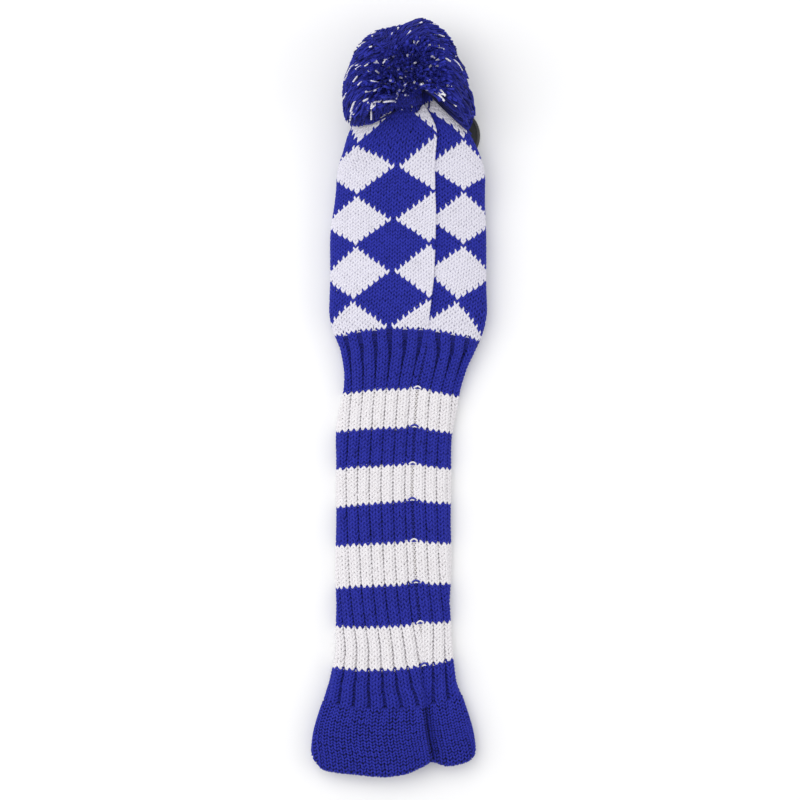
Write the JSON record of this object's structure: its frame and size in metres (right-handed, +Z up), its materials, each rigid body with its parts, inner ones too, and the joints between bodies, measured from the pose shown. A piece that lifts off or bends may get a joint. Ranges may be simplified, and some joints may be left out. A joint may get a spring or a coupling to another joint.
{
  "type": "knitted driver head cover",
  "caption": "Knitted sock with a diamond-patterned head pocket, long striped ribbed neck, flared cuff, yarn pom-pom and round number tag, to protect a golf driver's head.",
  "frame": {"origin": "middle of the object's box, on the surface that it lies on", "axes": "+Z up from the surface, +Y along the cover from the cuff to the pom-pom, +X across it"},
  "size_m": [0.1156, 0.4908, 0.0742],
  "materials": {
    "blue_yarn": "matte acrylic knitting yarn, royal blue",
    "white_yarn": "matte acrylic knitting yarn, white",
    "lining_fleece": "brushed fleece, dark blue",
    "seam_yarn": "twisted blue yarn",
    "pom_yarn": "cut plied yarn, blue with white strands",
    "tag_black": "moulded plastic, satin gloss",
    "dial_grey": "moulded plastic, fine matt grain",
    "rivet_metal": "pressed steel rivet",
    "loop_cord": "black elastic cord"
  },
  "bodies": {
    "head": {"head_knit": "blue_yarn", "head_lining": "lining_fleece", "head_seam": "seam_yarn", "crown_drawstring": "seam_yarn", "pompom_tails": "pom_yarn", "pompom_knot": "pom_yarn", "tag_anchor": "seam_yarn", "collar_rib": "blue_yarn", "collar_seam": "seam_yarn"},
    "upper_neck": {"stripe_1_white": "white_yarn", "stripe_2_blue": "blue_yarn", "stripe_3_white": "white_yarn", "stripe_4_blue": "blue_yarn", "stripe_5_white": "white_yarn", "upper_neck_seam": "seam_yarn", "mid_neck_seam": "seam_yarn"},
    "lower_neck": {"stripe_6_blue": "blue_yarn", "stripe_7_white": "white_yarn", "stripe_8_blue": "blue_yarn", "lower_neck_seam": "seam_yarn", "cuff": "blue_yarn", "cuff_facing": "blue_yarn", "cuff_seam": "seam_yarn"},
    "pompom_tie": {"pompom_tie": "pom_yarn"},
    "pompom": {"pompom_strands": "pom_yarn"},
    "tag": {"tag_case": "tag_black", "tag_rivet": "rivet_metal", "tag_loop": "loop_cord"},
    "dial": {"tag_dial": "dial_grey"}
  },
  "joints": [
    {"name": "neck_fold", "type": "hinge", "parent": "head", "child": "upper_neck", "pos_m": [0.004, 0.0245, 0.01], "axis": [-1, 0, 0], "range_deg": [0, 90], "deforming": ["collar_rib", "collar_seam"]},
    {"name": "neck_mid_fold", "type": "hinge", "parent": "upper_neck", "child": "lower_neck", "pos_m": [-0.0033, -0.1095, 0.008], "axis": [-1, 0, 0], "range_deg": [0, 90], "deforming": ["stripe_5_white", "mid_neck_seam"]},
    {"name": "pompom_sway", "type": "hinge", "parent": "head", "child": "pompom_tie", "pos_m": [0.0063, 0.2005, 0.0296], "axis": [0, 0, 1], "range_deg": [-30, 30]},
    {"name": "pompom_nod", "type": "hinge", "parent": "pompom_tie", "child": "pompom", "pos_m": [0.0063, 0.2005, 0.0296], "axis": [1, 0, 0], "range_deg": [0, 50], "deforming": ["pompom_strands"]},
    {"name": "tag_swing", "type": "hinge", "parent": "head", "child": "tag", "pos_m": [0.01657, 0.18816, 0.0164], "axis": [0, 0, 1], "range_deg": [0, 60], "deforming": ["tag_loop"]},
    {"name": "dial_turn", "type": "hinge", "parent": "tag", "child": "dial", "pos_m": [0.0353, 0.171, 0.0023], "axis": [0, 0, 1], "continuous": true}
  ]
}
